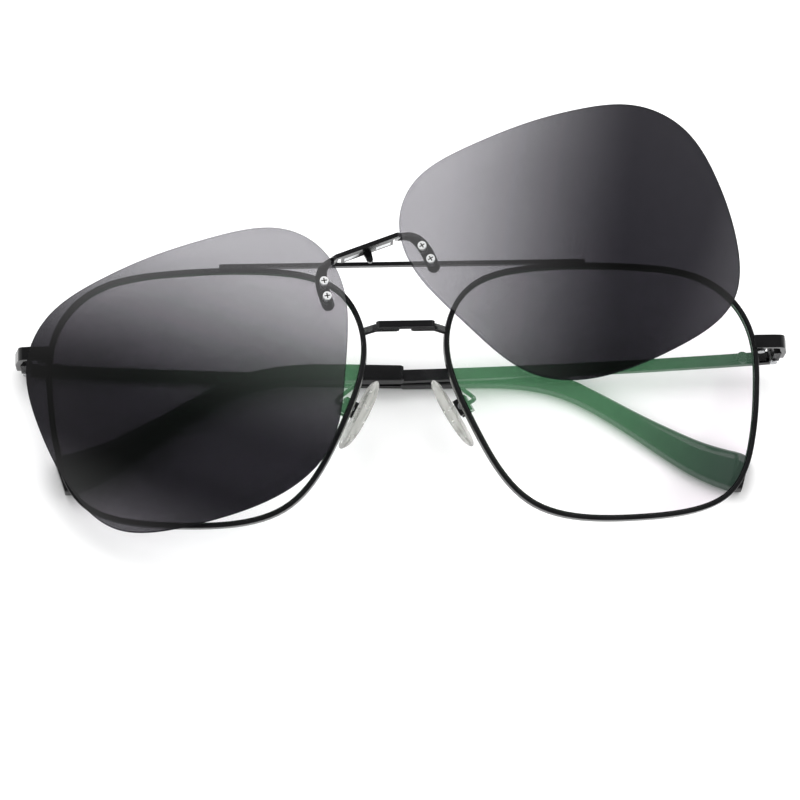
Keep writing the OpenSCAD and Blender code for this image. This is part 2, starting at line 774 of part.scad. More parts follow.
module clip_screws(side) {
    head = 0.45;
    length = clip_t + arm_back + clip_arm_t;
    color(bare_steel) clip_frame(side) on_clip_shell(0) at_clip_screws() difference() {
        union() {
            translate([0, 0, -length - 0.3]) cylinder(r = screw_r, h = length + 0.4);
            translate([0, 0, hold_gap]) cylinder(r = screw_head_r, h = head);
        }
        for (a = [0, 90]) {
            rotate([0, 0, a]) translate([-0.55, -0.12, head / 2 + 0.05]) cube([1.1, 0.24, head]);
        }
    }
}

module clip_nuts(side) {
    nut_t = 0.5;
    color(bare_steel) clip_frame(side)
        on_clip_shell(arm_back + clip_arm_t + hold_gap + nut_t) at_clip_screws() difference() {
            cylinder(r = 0.8, h = nut_t, $fn = 6);
            translate([0, 0, -eps]) cylinder(r = screw_r + hold_gap, h = nut_t + 2 * eps);
        }
}

shelf_bottom = bridge_top + seat_gap;
bar_rear = bridge_front + seat_gap + 0.04;
bar_half = 6.7;
clip_magnet_t = 0.45;
leg_t = 0.8;
leg_h = 1.1;
leg_rear = 0.4;
hook_drop = 2;
hook_t = 0.9;

function clip_bar_plan() = let (f = bar_rear + clip_bar_d, c = 0.5)
    [[-bar_half, bar_rear], [-bar_half, f - c], [c - bar_half, f], [bar_half - c, f],
        [bar_half, f - c], [bar_half, bar_rear]];

// Outline of the hook, from the shelf down to its round end
function hook_outline() = let (w = hook_w / 2, r = 0.7 * w, drop = hook_drop - r)
    concat([[w, shelf_t], [w, 0]], [for (a = [0:15:180]) [r * cos(a), -drop - r * sin(a)]],
        [[-w, 0], [-w, shelf_t]]);

// Leg from the end of the clip's bar back and up to the arm
module clip_leg() {
    rear_d = 1.3;
    hull() {
        translate([bar_half - leg_t, shelf_bottom, bar_rear])
            cube([leg_t, clip_bar_h, clip_bar_d / 2]);
        translate([bar_half - leg_t, shelf_bottom + clip_lift, leg_rear])
            cube([leg_t, leg_h, rear_d]);
    }
}

module clip_bridge() {
    shelf_half = 5.2;
    rear = bridge_front - bridge_d + 0.2;
    color(black_metal) clip_frame(1) union() {
        translate([0, shelf_bottom + clip_bar_h, 0]) rotate([90, 0, 0])
            linear_extrude(height = clip_bar_h) polygon(clip_bar_plan());
        difference() {
            translate([-shelf_half, shelf_bottom, rear])
                cube([2 * shelf_half, shelf_t, bar_rear - rear + eps]);
            translate([0, shelf_bottom - 1, magnet_back])
                magnet_pair(1 + clip_magnet_t, hold_gap);
        }
        translate([0, shelf_bottom, rear]) linear_extrude(height = hook_t)
            polygon(hook_outline());
        for (s = [-1, 1]) {
            mirrored(s) clip_leg();
        }
    }
}

module clip_magnets() {
    color(magnet_grey) clip_frame(1)
        translate([0, shelf_bottom, magnet_back]) magnet_pair(clip_magnet_t, 0);
}

rim(-1);  // left_rim
rim(1);  // right_rim
demo_lens(-1);  // left_demo_lens
demo_lens(1);  // right_demo_lens
brow_bar();
bridge();
bridge_magnets();
end_piece(-1);  // left_end_piece
end_piece(1);  // right_end_piece
closing_block(-1);  // left_closing_block
closing_block(1);  // right_closing_block
rim_screw(-1);  // left_rim_screw
rim_screw(1);  // right_rim_screw
front_hinge(-1);  // left_front_hinge
front_hinge(1);  // right_front_hinge
hinge_screw(-1);  // left_hinge_screw
hinge_screw(1);  // right_hinge_screw
pad_arm(-1);  // left_pad_arm
pad_arm(1);  // right_pad_arm
pad_screw(-1);  // left_pad_screw
pad_screw(1);  // right_pad_screw
pad_insert(-1);  // left_pad_insert
pad_insert(1);  // right_pad_insert
nose_pad(-1);  // left_nose_pad
nose_pad(1);  // right_nose_pad
temple_hinge(-1);  // left_temple_hinge
temple_hinge(1);  // right_temple_hinge
temple(-1);  // left_temple
temple(1);  // right_temple
temple_tip(-1);  // left_temple_tip
temple_tip(1);  // right_temple_tip
clip_bridge();
clip_magnets();
clip_arm(-1);  // left_clip_arm
clip_arm(1);  // right_clip_arm
clip_lens(-1);  // left_clip_lens
clip_lens(1);  // right_clip_lens
clip_screws(-1);  // left_clip_screws
clip_screws(1);  // right_clip_screws
clip_nuts(-1);  // left_clip_nuts
clip_nuts(1);  // right_clip_nuts
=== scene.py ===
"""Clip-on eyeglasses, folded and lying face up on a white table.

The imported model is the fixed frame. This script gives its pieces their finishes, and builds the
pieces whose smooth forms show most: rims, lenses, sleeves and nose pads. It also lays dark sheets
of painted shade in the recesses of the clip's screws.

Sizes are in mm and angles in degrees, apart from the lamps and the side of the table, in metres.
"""
import json
import logging
import math
from dataclasses import dataclass, field
from enum import Enum

import bmesh
import bpy
from mathutils import Matrix, Vector

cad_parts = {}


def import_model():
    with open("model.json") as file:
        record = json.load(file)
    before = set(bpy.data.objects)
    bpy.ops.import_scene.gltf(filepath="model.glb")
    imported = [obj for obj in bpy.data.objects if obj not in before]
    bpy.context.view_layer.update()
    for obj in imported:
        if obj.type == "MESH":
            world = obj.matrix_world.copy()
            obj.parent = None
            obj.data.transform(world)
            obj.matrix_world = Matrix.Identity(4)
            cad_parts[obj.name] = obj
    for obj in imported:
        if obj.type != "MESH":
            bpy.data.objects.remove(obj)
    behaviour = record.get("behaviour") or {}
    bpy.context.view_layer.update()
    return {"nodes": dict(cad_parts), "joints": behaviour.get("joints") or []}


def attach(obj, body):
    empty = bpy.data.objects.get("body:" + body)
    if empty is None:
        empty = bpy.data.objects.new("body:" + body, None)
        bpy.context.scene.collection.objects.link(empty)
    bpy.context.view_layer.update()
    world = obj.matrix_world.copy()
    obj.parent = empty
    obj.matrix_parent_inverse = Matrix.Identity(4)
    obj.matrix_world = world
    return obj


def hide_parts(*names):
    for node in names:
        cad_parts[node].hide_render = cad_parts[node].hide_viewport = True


LOG = logging.getLogger("glasses")
MM = 0.001
IMAGE_SIDE = 800
WELD_REACH = 0.002  # mm
BEVEL_ANGLE = 28.0  # degrees
CLIP_POLE = (-43.78, 0.23)  # mm, the clip's turning point from the middle of the front

Colour = tuple[float, float, float]
Pair = tuple[float, float]
Ring = list[Vector]
Socket = bpy.types.NodeSocket
Term = Socket | float


class Side(Enum):
    """A side of the glasses, as someone who looks at the front sees it."""

    LEFT = -1
    RIGHT = 1

    @property
    def word(self) -> str:
        """The side's word in the names of nodes and bodies."""
        return self.name.lower()


class Slot(Enum):
    """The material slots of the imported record."""

    LACQUER = "gloss_black"
    RESIN = "black_resin"
    STEEL = "bare_steel"
    MAGNET = "magnet"
    DEMO = "demo_lens"
    SUN = "sun_lens"
    SILICONE = "silicone"
    CORE = "pad_core"


class Ends(Enum):
    """How the two ends of a loft are finished."""

    JOINED = "joined"
    CAPPED = "capped"


# Curves and meshes


def spline_point(a: Vector, b: Vector, c: Vector, d: Vector, t: float) -> Vector:
    """Gives the point at t, from 0 to 1, of the cubic B-spline span of four control points."""
    return ((1 - t) ** 3 * a + (3 * t**3 - 6 * t**2 + 4) * b
            + (-3 * t**3 + 3 * t**2 + 3 * t + 1) * c + t**3 * d) / 6


def closed_curve(control: list[Vector], steps: int) -> list[Vector]:
    """Samples the closed B-spline of some control points.

    Args:
        control: The control points, in order round the curve.
        steps: The number of samples in each span.

    Returns:
        The points of the curve.
    """
    count = len(control)
    return [spline_point(control[i - 1], control[i], control[(i + 1) % count],
                         control[(i + 2) % count], k / steps)
            for i in range(count) for k in range(steps)]


def open_curve(control: list[Vector], steps: int) -> list[Vector]:
    """Samples an open B-spline that starts and ends at its outer control points.

    Args:
        control: The control points, in order.
        steps: The number of samples in each span.

    Returns:
        The points of the curve.
    """
    points = [2 * control[0] - control[1], *control, 2 * control[-1] - control[-2]]
    spans = [points[i:i + 4] for i in range(len(points) - 3)]
    curve = [spline_point(*span, k / steps) for span in spans for k in range(steps)]
    return [*curve, spline_point(*spans[-1], 1.0)]


def fit_in_box(points: list[Vector], width: float, height: float) -> list[Vector]:
    """Scales flat points to fill a box round the origin.

    Args:
        points: The flat points.
        width: The box's width.
        height: The box's height.

    Returns:
        The scaled points.
    """
    low = Vector((min(p.x for p in points), min(p.y for p in points)))
    high = Vector((max(p.x for p in points), max(p.y for p in points)))
    middle = (low + high) / 2
    return [Vector(((p.x - middle.x) * width / (high.x - low.x),
                    (p.y - middle.y) * height / (high.y - low.y))) for p in points]


def outward(points: list[Vector], index: int) -> Vector:
    """Gives the unit normal that points out of a closed anticlockwise outline at one point."""
    along = points[(index + 1) % len(points)] - points[index - 1]
    return Vector((along.y, -along.x)).normalized()


def grown(points: list[Vector], distance: float) -> list[Vector]:
    """Moves every point of a closed outline outward, or inward by a negative distance."""
    return [p + distance * outward(points, i) for i, p in enumerate(points)]


def rounded_box(width: float, height: float, radius: float, steps: int = 4) -> list[Vector]:
    """Draws a rectangle with round corners, anticlockwise.

    Args:
        width: The width of the rectangle.
        height: The height of the rectangle.
        radius: The radius of its corners.
        steps: The number of spans in a corner.

    Returns:
        The outline's points.
    """
    radius = min(radius, width / 2, height / 2)
    corners = [(1, 1, 0), (-1, 1, 90), (-1, -1, 180), (1, -1, 270)]
    outline = []
    for x, y, start in corners:
        middle = Vector((x * (width / 2 - radius), y * (height / 2 - radius)))
        for k in range(steps + 1):
            angle = math.radians(start + 90 * k / steps)
            outline.append(middle + radius * Vector((math.cos(angle), math.sin(angle))))
    return outline


def mesh_object(name: str, points: list[Vector], faces: list[list[int]],
                sharp_angle: float = 40.0) -> bpy.types.Object:
    """Makes a smooth-shaded mesh object, with its normals facing out.

    Args:
        name: The object's name.
        points: The vertices, in metres.
        faces: The faces, as lists of vertex numbers.
        sharp_angle: Edges that turn by more than this many degrees stay sharp.

    Returns:
        The object, linked to the scene.
    """
    mesh = bpy.data.meshes.new(name)
    mesh.from_pydata([tuple(p) for p in points], [], faces)
    shape = bmesh.new()
    shape.from_mesh(mesh)
    bmesh.ops.recalc_face_normals(shape, faces=shape.faces)
    shape.to_mesh(mesh)
    shape.free()
    mesh.shade_smooth()
    mesh.set_sharp_from_angle(angle=math.radians(sharp_angle))
    piece = bpy.data.objects.new(name, mesh)
    bpy.context.scene.collection.objects.link(piece)
    return piece


def loft(name: str, rings: list[Ring], ends: Ends, sharp_angle: float = 40.0) -> bpy.types.Object:
    """Joins rings of points, each with its neighbours, into one skin.

    Args:
        name: The object's name.
        rings: The rings, all with the same number of points.
        ends: Whether the last ring joins the first or both get a cap.
        sharp_angle: Edges that turn by more than this many degrees stay sharp.

    Returns:
        The object.
    """
    across = len(rings[0])
    last = len(rings) if ends is Ends.JOINED else len(rings) - 1
    faces = []
    for i in range(last):
        here, there = i * across, (i + 1) % len(rings) * across
        for j in range(across):
            k = (j + 1) % across
            faces.append([here + j, here + k, there + k, there + j])
    if ends is Ends.CAPPED:
        faces.append(list(range(across)))
        faces.append(list(range((len(rings) - 1) * across, len(rings) * across)))
    return mesh_object(name, [p for ring in rings for p in ring], faces, sharp_angle)


def dress(piece: bpy.types.Object, material: bpy.types.Material) -> None:
    """Gives a piece one material, in every slot that its mesh has.

    Args:
        piece: The piece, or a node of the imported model.
        material: The finish.
    """
    if not piece.material_slots:
        piece.data.materials.append(material)
    for slot in piece.material_slots:
        slot.material = material


def soften(piece: bpy.types.Object, width: float, segments: int = 3) -> None:
    """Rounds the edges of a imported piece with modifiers, which leave its mesh as it is.

    Args:
        piece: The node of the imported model.
        width: The width of the rounding, in mm.
        segments: The number of faces across a rounded edge.
    """
    weld = piece.modifiers.new("joined_faces", "WELD")
    weld.merge_threshold = WELD_REACH * MM
    bevel = piece.modifiers.new("rounded_edges", "BEVEL")
    bevel.width = width * MM
    bevel.segments = segments
    bevel.limit_method = "ANGLE"
    bevel.angle_limit = math.radians(BEVEL_ANGLE)
    bevel.harden_normals = True


# Places


@dataclass(frozen=True)
class FrontPlace:
    """The front's own axes: across to the right, up to the brow and out to the viewer."""

    origin: Vector
    across: Vector
    up: Vector
    out: Vector

    @classmethod
    def from_joints(cls, joints: dict[str, dict], pole: Vector) -> "FrontPlace":
        """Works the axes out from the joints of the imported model.

        Args:
            joints: The joints by name.
            pole: The clip's turning point, across and up from the front's middle, in mm.

        Returns:
            The place of the front.
        """
        out = Vector(joints["clip_turn"]["axis"]).normalized()
        left = Vector(joints["left_temple_fold"]["pos_m"])
        right = Vector(joints["right_temple_fold"]["pos_m"])
        across = (right - left).normalized()
        up = out.cross(across).normalized()
        turning = Vector(joints["clip_turn"]["pos_m"])
        return cls(turning - MM * (pole.x * across + pole.y * up), across, up, out)

    def point(self, u: float, v: float, w: float) -> Vector:
        """Gives the point that lies u across, v up and w out, all in mm."""
        return self.origin + MM * (u * self.across + v * self.up + w * self.out)


@dataclass(frozen=True)
class LensSeat:
    """The place of one lens: where its middle is, how it wraps and how far the clip is turned."""

    front: FrontPlace
    side: Side
    middle: float
    rise: float
    wrap: float
    lift: float = 0.0
    turn: float = 0.0
    pole: Pair = (0.0, 0.0)

    def point(self, x: float, y: float, z: float) -> Vector:
        """Gives a point of the frame for a point of the lens, in mm.

        Args:
            x: Distance from the lens's middle towards its temple side.
            y: Height above the middle.
            z: Distance out of the front.

        Returns:
            The point, in metres.
        """
        wrap = math.radians(self.wrap)
        u = self.side.value * (x * math.cos(wrap) + z * math.sin(wrap) + self.middle)
        w = z * math.cos(wrap) - x * math.sin(wrap) + self.rise
        arm = Vector((u - self.pole[0], y + self.lift - self.pole[1]))
        arm.rotate(Matrix.Rotation(math.radians(self.turn), 2))
        return self.front.point(arm.x + self.pole[0], arm.y + self.pole[1], w)


@dataclass(frozen=True)
class TemplePlace:
    """The folded temple's own axes: along it from the hinge, up to the brow and inward."""

    origin: Vector
    along: Vector
    up: Vector
    inward: Vector

    @classmethod
    def from_joint(cls, joint: dict, front: FrontPlace, side: Side, lean: float) -> "TemplePlace":
        """Works the axes out from the fold joint.

        Args:
            joint: The temple's fold joint.
            front: The place of the front.
            side: The temple's side.
            lean: The temple's angle below the line between the hinges, in degrees.

        Returns:
            The place of the temple.
        """
        up = Vector(joint["axis"]).normalized()
        level = -side.value * front.across
        level = (level - level.dot(up) * up).normalized()
        rise = -side.value * level.cross(up)
        lean = math.radians(lean)
        along = math.cos(lean) * level - math.sin(lean) * rise
        inward = math.sin(lean) * level + math.cos(lean) * rise
        return cls(Vector(joint["pos_m"]), along, up, inward)

    def point(self, x: float, y: float, z: float) -> Vector:
        """Gives the point x along the temple, y up and z inward, all in mm."""
        return self.origin + MM * (x * self.along + y * self.up + z * self.inward)


@dataclass(frozen=True)
class PadPlace:
    """The own axes of a nose pad: its width, its length and the way that it faces."""

    front: FrontPlace
    side: Side
    middle: tuple[float, float, float]
    angle: float
    splay: float

    def point(self, x: float, y: float, z: float) -> Vector:
        """Gives a point of the frame for a point of the pad, in mm.

        Args:
            x: Distance across the pad.
            y: Distance along the pad.
            z: Distance towards the nose.

        Returns:
            The point, in metres.
        """
        local = Vector((x, y, z))
        local.rotate(Matrix.Rotation(math.radians(-90 - self.splay), 3, "Y"))
        local.rotate(Matrix.Rotation(math.radians(self.angle), 3, "Z"))
        u, v, w = local + Vector(self.middle)
        return self.front.point(self.side.value * u, v, w)


@dataclass(frozen=True)
class ScrewPlace:
    """The own axes of a clip screw: across its head, up it, and out of the lens."""

    seat: LensSeat
    radius: float
    middle: Pair
    lean: float
    shift: float

    def point(self, x: float, y: float, z: float) -> Vector:
        """Gives a point of the frame for a point of the screw, in mm.

        Args:
            x: Distance across the head.
            y: Distance up the head.
            z: Distance out of the lens's front.

        Returns:
            The point, in metres.
        """
        local = Vector((x, y + self.shift, self.radius + z))
        local.rotate(Matrix.Rotation(math.radians(self.lean), 3, "Z"))
        dip = math.asin(self.middle[1] / self.radius)
        turn = math.asin(self.middle[0] / (self.radius * math.cos(dip)))
        local.rotate(Matrix.Rotation(-dip, 3, "X"))
        local.rotate(Matrix.Rotation(turn, 3, "Y"))
        return self.seat.point(local.x, local.y, local.z - self.radius)


# Finishes


class Shader:
    """The node tree of a new material or world, with short ways to add nodes to it."""

    def __init__(self, owner: bpy.types.Material | bpy.types.World, output: str) -> None:
        """Empties the owner's tree, but for a new output.

        Args:
            owner: The material or world.
            output: The output node's type, without the word ShaderNode.
        """
        owner.use_nodes = True
        self.owner = owner
        self.tree = owner.node_tree
        self.tree.nodes.clear()
        self.output = self.add(output)

    @classmethod
    def material(cls, name: str) -> "Shader":
        """Starts a new material."""
        return cls(bpy.data.materials.new(name), "OutputMaterial")

    def add(self, kind: str, inputs: dict | None = None, **settings: object) -> bpy.types.Node:
        """Adds a node.

        Args:
            kind: The node's type, without the word ShaderNode.
            inputs: Values for its sockets, or the sockets that feed them, by name or number.
            **settings: Values for its own properties.

        Returns:
            The node.
        """
        node = self.tree.nodes.new("ShaderNode" + kind)
        for name, value in settings.items():
            setattr(node, name, value)
        for key, value in (inputs or {}).items():
            if isinstance(value, Socket):
                self.tree.links.new(value, node.inputs[key])
            else:
                node.inputs[key].default_value = value
        return node

    def math(self, operation: str, *terms: Term) -> Socket:
        """Works out one operation on values and sockets, and returns the result's socket."""
        return self.add("Math", dict(enumerate(terms)), operation=operation).outputs[0]

    def mix(self, share: Term, first: Term, second: Term) -> Socket:
        """Mixes two values by a share of the second, and returns the result's socket."""
        # A mix node's inputs 2 and 3 are its two values.
        return self.add("Mix", {0: share, 2: first, 3: second}).outputs[0]

    def noise(self, grain: float, detail: float = 3.0) -> Socket:
        """Adds noise in the object's own place.

        Args:
            grain: The size of its grain, in mm.
            detail: How many finer layers it has.

        Returns:
            The socket with the noise.
        """
        place = self.add("TexCoord").outputs["Object"]
        return self.add("TexNoise", {"Vector": place, "Scale": 1 / (grain * MM),
                                     "Detail": detail}).outputs["Fac"]

    def spread(self, source: Socket, low: float, high: float,
               start: float = 0.3, end: float = 0.7) -> Socket:
        """Maps a value between start and end to one between low and high."""
        return self.add("MapRange", {"Value": source, "From Min": start, "From Max": end,
                                     "To Min": low, "To Max": high}).outputs["Result"]

    def blend(self, source: Socket, low: Colour, high: Colour,
              start: float = 0.0, end: float = 1.0) -> Socket:
        """Turns a value into a colour between two others.

        Args:
            source: The value.
            low: The colour up to the start.
            high: The colour from the end.
            start: The value where the change starts.
            end: The value where the change ends.

        Returns:
            The socket with the colour.
        """
        ramp = self.add("ValToRGB", {"Fac": source})
        first, last = ramp.color_ramp.elements
        first.position, last.position = start, end
        first.color, last.color = (*low, 1), (*high, 1)
        return ramp.outputs["Color"]

    def mottle(self, source: Socket, low: Colour, high: Colour) -> Socket:
        """Turns noise into patches of two colours, and returns the socket with the colour."""
        return self.blend(source, low, high, 0.3, 0.7)

    def bump(self, source: Socket, height: float) -> Socket:
        """Turns a value into a normal, with bumps of a height in mm."""
        return self.add("Bump", {"Height": source, "Strength": 1.0,
                                 "Distance": height * MM}).outputs["Normal"]

    def seen_rays(self, seen: float, other: float) -> Socket:
        """Gives one value to rays that are seen, directly or by mirrors and glass.

        Args:
            seen: The value for those rays.
            other: The value for all other rays.

        Returns:
            The socket with the value.
        """
        path = self.add("LightPath").outputs
        total = path["Is Camera Ray"]
        for name in ("Is Glossy Ray", "Is Transmission Ray"):
            total = self.math("MAXIMUM", total, path[name])
        return self.spread(total, other, seen, 0.0, 1.0)

    def rise(self, seat: LensSeat, way: Pair, span: Pair) -> Socket:
        """Measures a smooth rise from 0 to 1 across a lens, in one direction.

        Args:
            seat: The lens's place.
            way: The direction on the lens, towards its temple side and up.
            span: Where the rise starts and ends, in mm from the lens's middle.

        Returns:
            The socket with the rise.
        """
        middle = seat.point(0, 0, 0)
        x_way = (seat.point(1, 0, 0) - middle) / MM
        y_way = (seat.point(0, 1, 0) - middle) / MM
        way_out = (way[0] * x_way + way[1] * y_way) / MM
        start = middle.dot(way_out)
        place = self.add("TexCoord").outputs["Object"]
        dot = self.add("VectorMath", {0: place, 1: way_out}, operation="DOT_PRODUCT")
        return self.add("MapRange", {"Value": dot.outputs["Value"], "From Min": span[0] + start,
                                     "From Max": span[1] + start},
                        interpolation_type="SMOOTHSTEP").outputs["Result"]

    def show(self, first: bpy.types.Node,
             *others: bpy.types.Node) -> bpy.types.Material | bpy.types.World:
        """Joins the sum of some shaders to the output.

        Args:
            first: The first shader.
            *others: Shaders that are added to it.

        Returns:
            The finished material, or the world.
        """
        total = first.outputs[0]
        for other in others:
            total = self.add("AddShader", {0: total, 1: other.outputs[0]}).outputs[0]
        self.tree.links.new(total, self.output.inputs["Surface"])
        return self.owner


@dataclass(frozen=True)
class Lacquer:
    """A gloss black surface with a faint orange peel, for lacquered metal and polished resin."""

    name: str = "gloss_black_lacquer"
    dark: Colour = (0.003, 0.003, 0.0035)
    light: Colour = (0.008, 0.008, 0.009)
    peel_grain: float = 0.5
    peel_height: float = 0.0012
    patch_grain: float = 6.0
    roughness: Pair = (0.13, 0.24)
    coat: float = 0.35
    index: float = 1.4
    coat_roughness: float = 0.05

    def material(self) -> bpy.types.Material:
        """Builds the lacquer.

        Returns:
            The lacquer.
        """
        shader = Shader.material(self.name)
        patches = shader.noise(self.patch_grain)
        peel = shader.noise(self.peel_grain, detail=1.0)
        return shader.show(shader.add("BsdfPrincipled", {
            "Base Color": shader.mottle(patches, self.dark, self.light),
            "Roughness": shader.spread(patches, *self.roughness),
            "Normal": shader.bump(peel, self.peel_height), "IOR": self.index,
            "Coat Weight": self.coat, "Coat Roughness": self.coat_roughness}))


@dataclass(frozen=True)
class Metal:
    """Metal with fine turning or plating marks, and larger patches."""

    name: str
    dark: Colour
    light: Colour
    grain: float
    mark_height: float
    roughness: Pair
    metallic: float = 1.0
    patch_ratio: float = 6.0

    def material(self) -> bpy.types.Material:
        """Builds the metal.

        Returns:
            The metal.
        """
        shader = Shader.material(self.name)
        marks = shader.noise(self.grain, detail=4.0)
        patches = shader.noise(self.patch_ratio * self.grain)
        return shader.show(shader.add("BsdfPrincipled", {
            "Base Color": shader.mottle(patches, self.dark, self.light),
            "Roughness": shader.spread(marks, *self.roughness),
            "Normal": shader.bump(marks, self.mark_height), "Metallic": self.metallic}))


@dataclass(frozen=True)
class ClearCoating:
    """A thin clear lens whose coating looks green before dark things, most by the nose; that green
    reflection is painted as a diffuse colour.

    The colours are for one face, and what is seen through a lens passes two of them.
    """

    name: str = "demo_coating"
    passed: Colour = (0.965, 0.925, 0.955)
    # Painted reflection: the coating's green as a diffuse colour, by the nose and far from it.
    painted_green_reflection: Colour = (0.027, 0.08, 0.038)
    far_painted_green_reflection: Colour = (0.006, 0.017, 0.011)
    way: Pair = (0.85, -0.5)
    span: Pair = (-5.0, 32.0)
    mirrored: Colour = (0.02, 0.03, 0.022)
    slanted: Colour = (0.5, 0.52, 0.5)
    slant_power: float = 3.0
    roughness: float = 0.03
    haze_grain: float = 30.0
    haze: float = 0.04

    def material(self, seat: LensSeat) -> bpy.types.Material:
        """Builds the coating for one lens.

        Args:
            seat: The lens's place.

        Returns:
            The coating.
        """
        shader = Shader.material(self.name + "_" + seat.side.word)
        in_shadow = shader.add("LightPath").outputs["Is Shadow Ray"]
        clear = shader.add("BsdfTransparent", {
            "Color": shader.blend(in_shadow, self.passed, (1, 1, 1))})
        # Painted reflection: a green diffuse layer that fades from the nose towards the temple.
        painted_green_reflection = shader.add("BsdfDiffuse", {"Color": shader.blend(
            shader.rise(seat, self.way, self.span), self.painted_green_reflection, self.far_painted_green_reflection)})
        facing = shader.add("LayerWeight", {"Blend": 0.5}).outputs["Facing"]
        slant = shader.math("POWER", facing, self.slant_power)
        cloud = shader.noise(self.haze_grain, detail=2.0)
        haze = shader.math("MULTIPLY_ADD", cloud, self.haze, slant)
        mirror = shader.add("BsdfGlossy", {
            "Color": shader.blend(haze, self.mirrored, self.slanted), "Roughness": self.roughness})
        return shader.show(clear, painted_green_reflection, mirror)


@dataclass(frozen=True)
class Fall:
    """How a sun lens darkens: directions on it, spans in mm, and how light its far corner is."""

    way: Pair
    span: Pair
    corner: float
    corner_way: Pair = (0.7, -0.7)
    corner_span: Pair = (17.0, 33.0)


@dataclass(frozen=True)
class GradedTint:
    """The grey tint of a sun lens, light by the nose and brow and dark towards the temple, with a
    painted reflection that fades the same way.

    The colours are for one face, and what is seen through a lens passes two of them.
    """

    name: str = "graded_grey_tint"
    light: Colour = (0.5, 0.494, 0.51)
    dark: Colour = (0.126, 0.122, 0.138)
    shadow: Colour = (0.85, 0.85, 0.86)
    # Painted reflection: the mirror's strength on the light side and on the dark side of the lens.
    light_mirror: float = 0.3
    dark_mirror: float = 0.026
    roughness: float = 0.04
    haze_grain: float = 25.0
    haze: float = 0.03

    def material(self, seat: LensSeat, fall: Fall) -> bpy.types.Material:
        """Builds the tint for one lens.

        Args:
            seat: The lens's place.
            fall: How the lens darkens.

        Returns:
            The tint.
        """
        shader = Shader.material(self.name + "_" + seat.side.word)
        corner = shader.rise(seat, fall.corner_way, fall.corner_span)
        shade = shader.math("MULTIPLY", shader.rise(seat, fall.way, fall.span),
                            shader.math("MULTIPLY_ADD", corner, -fall.corner, 1.0))
        cloud = shader.noise(self.haze_grain, detail=2.0)
        haze = shader.math("MULTIPLY_ADD", cloud, self.haze, shade)
        # A mix node's inputs 6 and 7 are its two colours, and its output 2 is the mixed one.
        passed = shader.add("Mix", {0: shader.seen_rays(1.0, 0.0), 6: (*self.shadow, 1),
                                    7: shader.blend(haze, self.light, self.dark)},
                            data_type="RGBA")
        clear = shader.add("BsdfTransparent", {"Color": passed.outputs[2]})
        # Painted reflection: the mirror is stronger where the tint is light.
        mirrored = shader.blend(haze, (self.light_mirror,) * 3, (self.dark_mirror,) * 3)
        mirror = shader.add("BsdfGlossy", {"Color": mirrored, "Roughness": self.roughness})
        return shader.show(clear, mirror)


@dataclass(frozen=True)
class GroundEdge:
    """The matt ground edge of a lens, which passes less light than its faces."""

    name: str
    near: Colour
    far: Colour
    dark: Colour = (0.008, 0.008, 0.009)
    light: Colour = (0.02, 0.02, 0.022)
    grain: float = 0.2

    def material(self, seat: LensSeat, way: Pair, span: Pair) -> bpy.types.Material:
        """Builds the edge's finish for one lens.

        Args:
            seat: The lens's place.
            way: The direction on the lens from its light side to its dark side.
            span: Where the change starts and ends, in mm from the lens's middle.

        Returns:
            The finish.
        """
        shader = Shader.material(self.name + "_" + seat.side.word)
        clear = shader.add("BsdfTransparent", {
            "Color": shader.blend(shader.rise(seat, way, span), self.near, self.far)})
        matt = shader.add("BsdfDiffuse", {
            "Color": shader.mottle(shader.noise(self.grain), self.dark, self.light)})
        return shader.show(clear, matt)


@dataclass(frozen=True)
class ClearPlastic:
    """Soft or hard clear plastic that blurs what lies behind it a little."""

    name: str
    dark: Colour
    light: Colour
    roughness: Pair
    passed: float
    index: float
    grain: float = 1.5
    bump_height: float = 0.004

    def material(self) -> bpy.types.Material:
        """Builds the plastic.

        Returns:
            The plastic.
        """
        shader = Shader.material(self.name)
        cloud = shader.noise(self.grain)
        return shader.show(shader.add("BsdfPrincipled", {
            "Base Color": shader.mottle(cloud, self.dark, self.light),
            "Roughness": shader.spread(cloud, *self.roughness), "IOR": self.index,
            "Normal": shader.bump(cloud, self.bump_height), "Transmission Weight": self.passed}))


@dataclass
class Finishes:
    """The finishes by slot, and the hinges' own. Lenses and clip screws have theirs elsewhere."""

    lacquer: Lacquer = Lacquer()
    resin: Lacquer = Lacquer("polished_black_resin", (0.003, 0.003, 0.0035), (0.008, 0.008, 0.009),
                             2.5, 0.003, 9.0, (0.08, 0.15), 0.3, 1.42)
    steel: Metal = Metal("turned_steel", (0.62, 0.63, 0.65), (0.8, 0.81, 0.83), 0.12, 0.0015,
                         (0.18, 0.34))
    magnet: Metal = Metal("nickel_plate", (0.8, 0.81, 0.83), (0.92, 0.93, 0.94), 0.5, 0.001,
                          (0.12, 0.25))
    silicone: ClearPlastic = ClearPlastic("clear_silicone", (0.93, 0.93, 0.89), (0.98, 0.98, 0.95),
                                          (0.14, 0.3), 0.72, 1.34)
    core: ClearPlastic = ClearPlastic("pad_core_plastic", (0.93, 0.94, 0.91), (0.98, 0.98, 0.96),
                                      (0.1, 0.2), 0.85, 1.36)
    hinge: Metal = Metal("blackened_hinge", (0.035, 0.035, 0.036), (0.09, 0.09, 0.092), 0.4, 0.002,
                         (0.16, 0.32))
    made: dict[Slot, bpy.types.Material] = field(default_factory=dict)

    def material(self, slot: Slot) -> bpy.types.Material:
        """Gives the material of a slot, built when it is first asked for.

        Args:
            slot: The slot.

        Returns:
            Its material.
        """
        if slot not in self.made:
            finish = getattr(self, slot.name.lower())
            self.made[slot] = finish.material()
        return self.made[slot]


